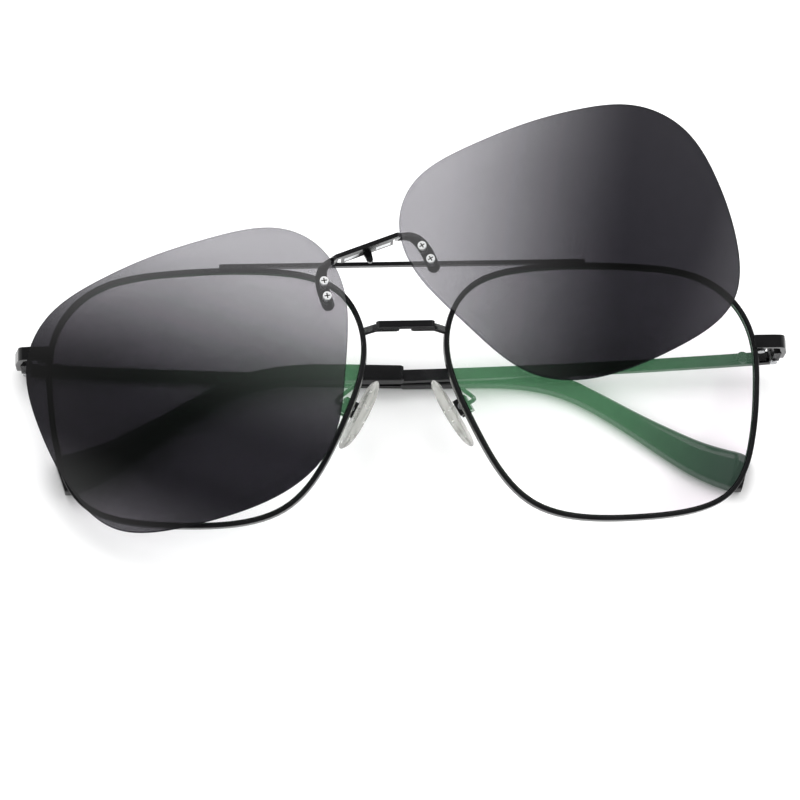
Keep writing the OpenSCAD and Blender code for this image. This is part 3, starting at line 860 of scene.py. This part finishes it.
@dataclass
class Bench:
    """What sub-assemblies need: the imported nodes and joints, the front's place, the finishes."""

    nodes: dict[str, bpy.types.Object]
    joints: dict[str, dict]
    front: FrontPlace
    finishes: Finishes

    def dress_nodes(self, names: list[str], slot: Slot, rounding: float = 0.0,
                    own: bpy.types.Material | None = None) -> None:
        """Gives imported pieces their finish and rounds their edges.

        Args:
            names: The nodes.
            slot: Their slot.
            rounding: The width of the rounded edges in mm, or 0 to leave them.
            own: A finish of their own, in place of the slot's.
        """
        for name in names:
            dress(self.nodes[name], own or self.finishes.material(slot))
            if rounding:
                soften(self.nodes[name], rounding)
            LOG.info("%s keeps its packed shape in %s", name, slot.value)

    def place_piece(self, piece: bpy.types.Object, body: str, slot: Slot, node: str,
                    own: bpy.types.Material | None = None) -> None:
        """Puts a new piece on its body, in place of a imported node.

        Args:
            piece: The new piece.
            body: The body that it moves with.
            slot: Its slot.
            node: The node that it stands for.
            own: A finish of its own, in place of the slot's.
        """
        dress(piece, own or self.finishes.material(slot))
        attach(piece, body)
        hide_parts(node)
        LOG.info("%s stands for %s on %s", piece.name, node, body)


# Sub-assemblies


def both_sides(word: str) -> list[str]:
    """Gives the names of the left and right nodes of a piece."""
    return [side.word + "_" + word for side in Side]


@dataclass
class LensForm:
    """A lens outline on a sphere, with the shares of it at which rings lie across a face."""

    control: tuple[Pair, ...]
    width: float
    height: float
    base_radius: float
    steps: int = 12
    shares: tuple[float, ...] = (0.04, 0.2, 0.4, 0.6, 0.8, 0.93)
    sharp_angle: float = 30.0

    def outline(self) -> list[Vector]:
        """Gives the outline's points, in mm round the lens's middle."""
        curve = closed_curve([Vector(p) for p in self.control], self.steps)
        return fit_in_box(curve, self.width, self.height)

    def sink(self, point: Vector, depth: float) -> float:
        """Gives how far out a point lies on the sphere that is depth mm below the front."""
        radius = self.base_radius - depth
        return math.sqrt(radius**2 - point.x**2 - point.y**2) - self.base_radius

    def ring(self, seat: LensSeat, inset: float, depth: float, share: float = 1.0) -> Ring:
        """Lays a share of the inset outline on the lens, at a depth in mm behind its front."""
        flat = [share * p for p in grown(self.outline(), -inset)]
        return [seat.point(p.x, p.y, self.sink(p, depth)) for p in flat]

    def lens(self, name: str, seat: LensSeat, section: list[Pair]) -> bpy.types.Object:
        """Builds a lens with two smooth faces and a shaped edge.

        Args:
            name: The object's name.
            seat: The lens's place.
            section: The edge from front to rear, as insets and depths in mm.

        Returns:
            The lens.
        """
        front, rear = section[0], section[-1]
        rings = [self.ring(seat, *front, share) for share in self.shares]
        rings += [self.ring(seat, inset, depth) for inset, depth in section]
        rings += [self.ring(seat, *rear, share) for share in reversed(self.shares)]
        return loft(name, rings, Ends.CAPPED, self.sharp_angle)

    def dress_edge(self, lens: bpy.types.Object, strips: int, material: bpy.types.Material) -> None:
        """Gives the edge of a lens a finish of its own.

        Args:
            lens: The lens, dressed already.
            strips: The number of strips of faces from its front face to its rear face.
            material: The edge's finish.
        """
        total = len(lens.data.polygons) - 2
        across = len(self.outline())
        first = (total // across - strips) // 2 * across
        lens.data.materials.append(material)
        for face in lens.data.polygons[first:first + strips * across]:
            face.material_index = 1


@dataclass
class Front:
    """The wire-rimmed front: rims, demo lenses, brow bar, bridge and end pieces."""

    bench: Bench
    lens: LensForm = field(default_factory=lambda: LensForm(
        ((0.99, 0.05), (1.01, 0.40), (0.92, 0.73), (0.65, 0.98), (0.17, 1.00), (-0.34, 1.00),
         (-0.82, 0.93), (-1.00, 0.58), (-1.02, 0.20), (-0.85, -0.31), (-0.55, -1.00),
         (0.16, -1.01), (0.83, -0.89), (0.96, -0.32)), 60.0, 49.5, 123.0))
    lens_middle: float = 38.0
    lens_depth: float = 1.3
    wrap: float = 6.2
    wire_width: float = 0.86
    wire_depth: float = 1.7
    wire_corner: float = 0.2
    edge_inset: float = 0.44
    edge_strips: int = 7
    bevel: float = 0.15
    tongue_inset: float = 0.1
    tongue_width: float = 0.28
    coating: ClearCoating = ClearCoating()
    edge: GroundEdge = GroundEdge("ground_clear_edge", (0.02, 0.03, 0.02), (0.01, 0.01, 0.01))
    hinge: bpy.types.Material | None = None

    def seat(self, side: Side) -> LensSeat:
        """Gives the place of a demo lens."""
        return LensSeat(self.bench.front, side, self.lens_middle, 0.0, self.wrap)

    def rim(self, side: Side) -> bpy.types.Object:
        """Sweeps the rim wire round its lens.

        Args:
            side: The rim's side.

        Returns:
            The rim.
        """
        seat = self.seat(side)
        outline = self.lens.outline()
        section = rounded_box(self.wire_width, self.wire_depth, self.wire_corner)
        rings = []
        for i, point in enumerate(outline):
            normal = outward(outline, i)
            middle = self.lens.sink(point, 0.0) - self.lens_depth / 2
            rings.append([seat.point(*(point + q.x * normal), middle + q.y) for q in section])
        return loft(side.word + "_rim_wire", rings, Ends.JOINED)

    def demo_lens(self, side: Side) -> bpy.types.Object:
        """Builds the clear lens that fills a rim, with its tongue in the groove.

        Args:
            side: The lens's side.

        Returns:
            The lens.
        """
        depth, edge, bevel, tongue = self.lens_depth, self.edge_inset, self.bevel, self.tongue_inset
        front, rear = (depth - self.tongue_width) / 2, (depth + self.tongue_width) / 2
        section = [(edge + bevel, 0.0), (edge, bevel), (edge, front), (tongue, front),
                   (tongue, rear), (edge, rear), (edge, depth - bevel), (edge + bevel, depth)]
        return self.lens.lens(side.word + "_clear_lens", self.seat(side), section)

    def build(self) -> None:
        """Builds and dresses every piece of the front."""
        for side in Side:
            self.bench.place_piece(self.rim(side), "front", Slot.LACQUER, side.word + "_rim")
            seat, lens, coating = self.seat(side), self.demo_lens(side), self.coating
            self.bench.place_piece(lens, "front", Slot.DEMO, side.word + "_demo_lens",
                                   coating.material(seat))
            self.lens.dress_edge(lens, self.edge_strips,
                                 self.edge.material(seat, coating.way, coating.span))
        self.bench.dress_nodes(["brow_bar"], Slot.LACQUER, 0.1)
        self.bench.dress_nodes(["bridge"], Slot.LACQUER, 0.22)
        self.bench.dress_nodes(both_sides("end_piece"), Slot.LACQUER, 0.22)
        self.bench.dress_nodes(both_sides("closing_block"), Slot.LACQUER, 0.12)
        self.bench.dress_nodes(["bridge_magnets"], Slot.MAGNET, 0.08)
        self.bench.dress_nodes(both_sides("front_hinge"), Slot.STEEL, 0.05, self.hinge)
        for word in ("hinge_screw", "rim_screw"):
            self.bench.dress_nodes(both_sides(word), Slot.STEEL, 0.05)


@dataclass
class NosePads:
    """The soft nose pads, their hard cores, and the arms and screws that carry them."""

    bench: Bench
    length: float = 14.6
    width: float = 7.4
    thickness: float = 1.9
    taper: float = 0.12
    crown: float = 48.0
    edge_radius: float = 0.8
    edge_steps: int = 12
    inner_shares: tuple[float, ...] = (0.03, 0.25, 0.5, 0.7)
    sharp_angle: float = 60.0
    middle: tuple[float, float, float] = (8.6, -3.0, -6.8)
    angle: float = 28.0
    splay: float = 16.0
    spokes: int = 64
    squareness: float = 3.2

    def rim_point(self, angle: float) -> Vector:
        """Gives a point of the pad's outline.

        Args:
            angle: The point's angle round the pad, in radians.

        Returns:
            The point, as shares of the pad's half sizes.
        """
        power = 2 / self.squareness
        x = math.copysign(abs(math.cos(angle)) ** power, math.cos(angle))
        y = math.copysign(abs(math.sin(angle)) ** power, math.sin(angle))
        return Vector((x * (1 - self.taper * y), y))

    def pad(self, side: Side) -> bpy.types.Object:
        """Builds one crowned pad with round edges.

        Args:
            side: The pad's side.

        Returns:
            The pad.
        """
        place = PadPlace(self.bench.front, side, self.middle, self.angle, self.splay)
        half = self.thickness / 2
        radius = self.edge_radius
        arc = [math.radians(90 - 180 * k / self.edge_steps) for k in range(self.edge_steps + 1)]
        edge = [(1 - radius * (1 - math.cos(a)) / (self.width / 2), math.sin(a)) for a in arc]
        profile = ([(share, 1.0) for share in self.inner_shares] + edge
                   + [(share, -1.0) for share in reversed(self.inner_shares)])
        rings = []
        for share, way in profile:
            ring = []
            for k in range(self.spokes):
                rim = self.rim_point(2 * math.pi * k / self.spokes)
                x = share * self.width / 2 * rim.x
                y = share * self.length / 2 * rim.y
                fall = (x**2 + y**2) / (2 * self.crown)
                top = half - fall
                middle = (top - half) / 2
                ring.append(place.point(x, y, middle + way * (top + half) / 2))
            rings.append(ring)
        return loft(side.word + "_soft_pad", rings, Ends.CAPPED, self.sharp_angle)

    def build(self) -> None:
        """Builds and dresses the pads and what carries them."""
        for side in Side:
            pad = self.pad(side)
            self.bench.place_piece(pad, side.word + "_pad", Slot.SILICONE,
                                   side.word + "_nose_pad")
        self.bench.dress_nodes(both_sides("pad_insert"), Slot.CORE, 0.1)
        self.bench.dress_nodes(both_sides("pad_arm"), Slot.LACQUER)
        self.bench.dress_nodes(both_sides("pad_screw"), Slot.STEEL, 0.04)


@dataclass
class Temples:
    """The folded temples: flat metal from the hinge, and a curved sleeve to the tip.

    The sleeve's route is in shares of its length, of its drop and of its growth in height.
    """

    bench: Bench
    leans: dict[Side, float] = field(default_factory=lambda: {Side.LEFT: 1.8, Side.RIGHT: -0.2})
    sleeve_start: float = 71.6
    reach: float = 138.5
    start_height: float = 3.2
    tip_height: float = 8.5
    tip_drop: float = 14.1
    thin: float = 2.3
    thick: float = 3.2
    outer_face: float = -2.3
    facet_width: float = 2.4
    facet_depth: float = 1.15
    facet_start: float = 0.5
    facet_full: float = 0.85
    facet_least: float = 0.05
    corner_start: float = 0.4
    corner_growth: float = 0.5
    corner_least: float = 0.2
    start_inset: float = 0.2
    tip_insets: tuple[float, ...] = (0.6, 0.25, 0.06)
    inset_thinning: float = 1.2
    route_steps: int = 8
    corner_steps: int = 9
    sharp_angle: float = 14.0
    hinge: bpy.types.Material | None = None
    route: tuple[tuple[float, float, float], ...] = (
        (0, 0.13, 0), (0.06, 0.15, 0.02), (0.18, 0.2, 0.05), (0.3, 0.24, 0.06),
        (0.4, 0.21, 0.06), (0.49, 0.11, 0.07), (0.58, -0.09, 0.1), (0.68, -0.36, 0.22),
        (0.79, -0.65, 0.54), (0.89, -0.89, 0.82), (1, -1.02, 1))

    def section(self, height: float, depth: float, corner: float, facet: float) -> list[Vector]:
        """Gives the sleeve's section, a bar with round edges and one sloping inner facet.

        Args:
            height: The height of the bar.
            depth: The thickness of the bar.
            corner: The radius of its edges.
            facet: How much of the facet there is, from 0 to 1.

        Returns:
            The section's points, downwards and inwards.
        """
        crease = self.facet_width * facet - height / 2
        outline = []
        for point in rounded_box(height, depth, corner, self.corner_steps):
            if outline and outline[-1].x > crease >= point.x and point.y > 0:
                outline.append(Vector((crease, depth / 2)))
            drop = max(crease - point.x, 0) / self.facet_width * self.facet_depth
            outline.append(Vector((point.x, max(point.y - drop, -depth / 2) if point.y > 0
                                   else point.y)))
        return outline

    def sleeve(self, side: Side) -> bpy.types.Object:
        """Sweeps the sleeve of a temple from its start to its tip.

        Args:
            side: The temple's side.

        Returns:
            The sleeve.
        """
        joint = self.bench.joints[side.word + "_temple_fold"]
        place = TemplePlace.from_joint(joint, self.bench.front, side, self.leans[side])
        length = self.reach - self.sleeve_start
        control = [Vector((x * length, y * self.tip_drop,
                           self.start_height + h * (self.tip_height - self.start_height)))
                   for x, y, h in self.route]
        curve = open_curve(control, self.route_steps)
        rings = []
        last = len(curve) - 1
        insets = {0: self.start_inset}
        insets.update({last - k: inset for k, inset in enumerate(self.tip_insets)})
        for i, point in enumerate(curve):
            along = (curve[min(i + 1, last)] - curve[max(i - 1, 0)]).xy.normalized()
            share = i / last
            depth = self.thin + (self.thick - self.thin) * share
            inset = insets.get(i, 0.0)
            corner = self.corner_start + self.corner_growth * share
            middle = self.outer_face + depth / 2
            facet = (share - self.facet_start) / (self.facet_full - self.facet_start)
            section = self.section(point.z - 2 * inset, depth - self.inset_thinning * inset,
                                   max(corner - inset / 2, self.corner_least),
                                   min(max(facet, self.facet_least), 1))
            ring = [place.point(self.sleeve_start + point.x + along.y * q.x,
                                point.y - along.x * q.x, middle + q.y) for q in section]
            rings.append(ring)
        return loft(side.word + "_sleeve", rings, Ends.CAPPED, self.sharp_angle)

    def build(self) -> None:
        """Builds and dresses both temples."""
        for side in Side:
            self.bench.place_piece(self.sleeve(side), side.word + "_temple", Slot.RESIN,
                                   side.word + "_temple_tip")
        self.bench.dress_nodes(both_sides("temple"), Slot.LACQUER, 0.15)
        self.bench.dress_nodes(both_sides("temple_hinge"), Slot.STEEL, 0.06, self.hinge)


@dataclass
class SunClip:
    """The magnetic sun clip: two tinted lenses on arms, a bar with a hook, and its screws."""

    bench: Bench
    pole: Vector
    lens: LensForm = field(default_factory=lambda: LensForm(
        ((1.01, 0.12), (0.99, 0.61), (0.73, 0.93), (0.36, 0.99), (0.01, 1.01), (-0.35, 0.98),
         (-0.76, 0.93), (-0.99, 0.64), (-1.02, 0.20), (-0.83, -0.29), (-0.62, -0.84),
         (-0.19, -1.03), (0.33, -0.98), (0.84, -0.84), (0.98, -0.33)), 62.9, 52.1, 123.0))
    lens_middle: float = 38.46
    lens_depth: float = 1.0
    rise: float = 3.6
    wrap: float = 6.2
    lift: float = 0.45
    askew: float = 19.63
    bevel: float = 0.1
    edge_strips: int = 3
    tint: GradedTint = GradedTint()
    edge: GroundEdge = GroundEdge("ground_sun_edge", (0.5, 0.5, 0.52), (0.08, 0.08, 0.09))
    # Partly the screws' bright metal and partly a painted glint: near white and mostly not metallic.
    screw_finish: Metal = Metal("bright_zinc", (0.86, 0.87, 0.88), (0.97, 0.97, 0.97), 0.1, 0.001,
                                (0.35, 0.5), 0.3)
    # Painted shade: the finish of the dark sheets in the screws' cross recesses.
    recess_shade_finish: Metal = Metal("dark_recess", (0.02, 0.02, 0.018), (0.05, 0.05, 0.045), 0.1,
                                 0.001, (0.5, 0.7), 0.2)
    screw_middle: Pair = (-28.06, 7.85)
    screw_pitch: float = 3.1
    screw_lean: float = 10.5
    recess_length: float = 1.08
    recess_width: float = 0.23
    recess_floor: float = 0.28
    recess_sheet: float = 0.03
    falls: dict[Side, Fall] = field(default_factory=lambda: {
        Side.LEFT: Fall((0.69, -0.72), (-27.6, 10.0), 0.5),
        Side.RIGHT: Fall((0.88, -0.47), (-32.0, 12.0), 0.16)})

    def seat(self, side: Side) -> LensSeat:
        """Gives the place of a sun lens in the clip as it lies."""
        return LensSeat(self.bench.front, side, self.lens_middle, self.rise, self.wrap,
                        self.lift, self.askew, tuple(self.pole))

    def sun_lens(self, side: Side) -> bpy.types.Object:
        """Builds one tinted lens with its ground edge.

        Args:
            side: The lens's side in the clip.

        Returns:
            The lens.
        """
        bevel, depth = self.bevel, self.lens_depth
        section = [(bevel, 0.0), (0.0, bevel), (0.0, depth - bevel), (bevel, depth)]
        return self.lens.lens(side.word + "_tinted_lens", self.seat(side), section)

    def recesses(self, side: Side) -> bpy.types.Object:
        """Builds the dark sheets of painted shade in the two cross recesses on one side.

        Args:
            side: The side of the clip.

        Returns:
            One object with both crosses.
        """
        half, arm = self.recess_length / 2, self.recess_width / 2
        cross = [(half, -arm), (half, arm), (arm, arm), (arm, half), (-arm, half), (-arm, arm),
                 (-half, arm), (-half, -arm), (-arm, -arm), (-arm, -half), (arm, -half), (arm, -arm)]
        points, faces = [], []
        count = len(cross)
        for end in (-1, 1):
            place = ScrewPlace(self.seat(side), self.lens.base_radius, self.screw_middle,
                               self.screw_lean, end * self.screw_pitch / 2)
            first = len(points)
            for height in (self.recess_floor, self.recess_floor + self.recess_sheet):
                points += [place.point(x, y, height) for x, y in cross]
            faces += [[first + k for k in range(count)], [first + count + k for k in range(count)]]
            faces += [[first + k, first + (k + 1) % count, first + count + (k + 1) % count,
                       first + count + k] for k in range(count)]
        return mesh_object(side.word + "_screw_recesses", points, faces)

    def build(self) -> None:
        """Builds and dresses every piece of the clip."""
        # Painted shade for the cross recesses of the screws.
        dark = self.recess_shade_finish.material()
        for side in Side:
            seat, fall, lens = self.seat(side), self.falls[side], self.sun_lens(side)
            self.bench.place_piece(lens, "clip", Slot.SUN, side.word + "_clip_lens",
                                   self.tint.material(seat, fall))
            self.lens.dress_edge(lens, self.edge_strips,
                                 self.edge.material(seat, fall.way, fall.span))
            crosses = self.recesses(side)
            dress(crosses, dark)
            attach(crosses, "clip")
            LOG.info("%s lies in the screws of the clip", crosses.name)
        self.bench.dress_nodes(["clip_bridge"], Slot.LACQUER, 0.18)
        self.bench.dress_nodes(both_sides("clip_arm"), Slot.LACQUER, 0.18)
        self.bench.dress_nodes(["clip_magnets"], Slot.MAGNET, 0.05)
        self.bench.dress_nodes(both_sides("clip_nuts"), Slot.STEEL, 0.06)
        self.bench.dress_nodes(both_sides("clip_screws"), Slot.STEEL, 0.05,
                               self.screw_finish.material())


# Camera and stage


@dataclass
class PhotoCamera:
    """The camera at the photograph's place. Its two shifts are in pixels of the picture."""

    front: FrontPlace
    roll: float = 1.7158
    pitch: float = -15.0
    yaw: float = 2.8
    distance: float = 604.2
    focal_length: float = 145.1
    sensor: float = 36.0
    right_shift: float = 6.789
    up_shift: float = 9.93
    nearest: float = 10.0

    def build(self) -> None:
        """Makes the camera and sets it as the scene's."""
        axes = Matrix((self.front.across, self.front.up, self.front.out)).transposed()
        turn = (Matrix.Rotation(math.radians(self.roll), 3, "Z")
                @ Matrix.Rotation(math.radians(self.pitch), 3, "X")
                @ Matrix.Rotation(math.radians(self.yaw), 3, "Y"))
        pose = axes @ turn.transposed()
        data = bpy.data.cameras.new("photo_camera")
        data.lens = self.focal_length
        data.sensor_width = self.sensor
        data.shift_x = -self.right_shift / IMAGE_SIDE
        data.shift_y = -self.up_shift / IMAGE_SIDE
        data.clip_start = self.nearest * MM
        camera = bpy.data.objects.new("photo_camera", data)
        place = self.front.origin + pose @ Vector((0, 0, self.distance * MM))
        camera.matrix_world = Matrix.Translation(place) @ pose.to_4x4()
        bpy.context.scene.collection.objects.link(camera)
        bpy.context.scene.camera = camera


@dataclass(frozen=True)
class Softbox:
    """One square studio lamp."""

    name: str
    place: tuple[float, float, float]
    side: float
    watts: float

    def build(self) -> None:
        """Hangs the lamp, turned towards the glasses."""
        data = bpy.data.lights.new(self.name, "AREA")
        data.shape = "SQUARE"
        data.size = self.side
        data.energy = self.watts
        lamp = bpy.data.objects.new(self.name, data)
        lamp.visible_glossy = False
        lamp.location = self.place
        lamp.rotation_euler = (-Vector(self.place)).to_track_quat("-Z", "Y").to_euler()
        bpy.context.scene.collection.objects.link(lamp)


@dataclass
class Stage:
    """The white table, the bright room and the lamps."""

    table_side: float = 6.0
    table_drop: float = 0.02
    table_grey: float = 0.84
    # The table's grey in mirrors, painted darker than it is in view.
    mirrored_table: float = 0.56
    glow: float = 0.5
    # Reach, strength and samples of the painted contact shadow.
    painted_shadow_reach: float = 14.0
    painted_shadow_power: float = 2.5
    painted_shadow_samples: int = 8
    room: float = 0.55
    mirrored_top: float = 0.2
    mirrored_side: float = 1.0
    near_share: float = 0.35
    near_span: Pair = (-0.5, 0.2)
    side_height: float = 0.4
    top_height: float = 0.9
    lamps: tuple[Softbox, ...] = (
        Softbox("key_softbox", (-0.2, 0.6, 0.8), 0.7, 6.0),
        Softbox("fill_softbox", (0.5, 0.1, 0.9), 0.9, 3.0),
    )

    def table(self) -> None:
        """Lays the table under the glasses. It glows a little in view and keeps the lamps' shadows;
        the glow fades near the glasses as painted contact shadow, and mirrors see it painted greyer.
        """
        half = self.table_side / 2
        corners = [Vector((x, y, -self.table_drop * MM)) for x, y in
                   ((-half, -half), (half, -half), (half, half), (-half, half))]
        table = mesh_object("table", corners, [[0, 1, 2, 3]])
        shader = Shader.material("white_table")
        # Painted shade in reflections: glossy rays see the table greyer than the camera does.
        mirrored = shader.add("LightPath").outputs["Is Glossy Ray"]
        matt = shader.add("BsdfDiffuse", {
            "Color": shader.spread(mirrored, self.table_grey, self.mirrored_table, 0.0, 1.0)})
        # Painted contact shadow: ambient occlusion dims the glow near the glasses.
        painted_shadow_mask = shader.add("AmbientOcclusion", {"Distance": self.painted_shadow_reach * MM},
                              samples=self.painted_shadow_samples)
        soft = shader.math("POWER", painted_shadow_mask.outputs["AO"], self.painted_shadow_power)
        strength = shader.math("MULTIPLY", soft, shader.seen_rays(self.glow, 0.0))
        glow = shader.add("Emission", {"Color": (1, 1, 1, 1), "Strength": strength})
        dress(table, shader.show(matt, glow))

    def world(self) -> None:
        """Fills the room with even light, which is white where seen and graded in mirrors."""
        world = bpy.data.worlds.new("white_room")
        bpy.context.scene.world = world
        shader = Shader(world, "OutputWorld")
        path = shader.add("LightPath").outputs
        way = shader.add("SeparateXYZ", {0: shader.add("TexCoord").outputs["Generated"]}).outputs
        upward = shader.spread(way["Z"], self.mirrored_side, self.mirrored_top,
                               self.side_height, self.top_height)
        inward = shader.spread(way["Y"], self.near_share, 1.0, *self.near_span)
        mirrored = shader.math("MULTIPLY", upward, inward)
        strength = shader.mix(path["Is Glossy Ray"], self.room, mirrored)
        for seen in ("Is Camera Ray", "Is Transmission Ray"):
            strength = shader.mix(path[seen], strength, 1.0)
        shader.show(shader.add("Background", {"Color": (1, 1, 1, 1), "Strength": strength}))

    def build(self) -> None:
        """Builds the table, the room and the lamps."""
        self.table()
        self.world()
        for lamp in self.lamps:
            lamp.build()
        bpy.context.scene.view_settings.view_transform = "Standard"


def main() -> None:
    """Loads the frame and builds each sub-assembly in order."""
    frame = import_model()
    joints = {joint["name"]: joint for joint in frame["joints"]}
    pole = Vector(CLIP_POLE)
    front = FrontPlace.from_joints(joints, pole)
    bench = Bench(frame["nodes"], joints, front, Finishes())
    PhotoCamera(front).build()
    Stage().build()
    hinge = bench.finishes.hinge.material()
    for assembly in (Front(bench, hinge=hinge), NosePads(bench), Temples(bench, hinge=hinge),
                     SunClip(bench, pole)):
        assembly.build()


if __name__ == "__main__":
    logging.basicConfig(level=logging.INFO, format="%(message)s")
    main()
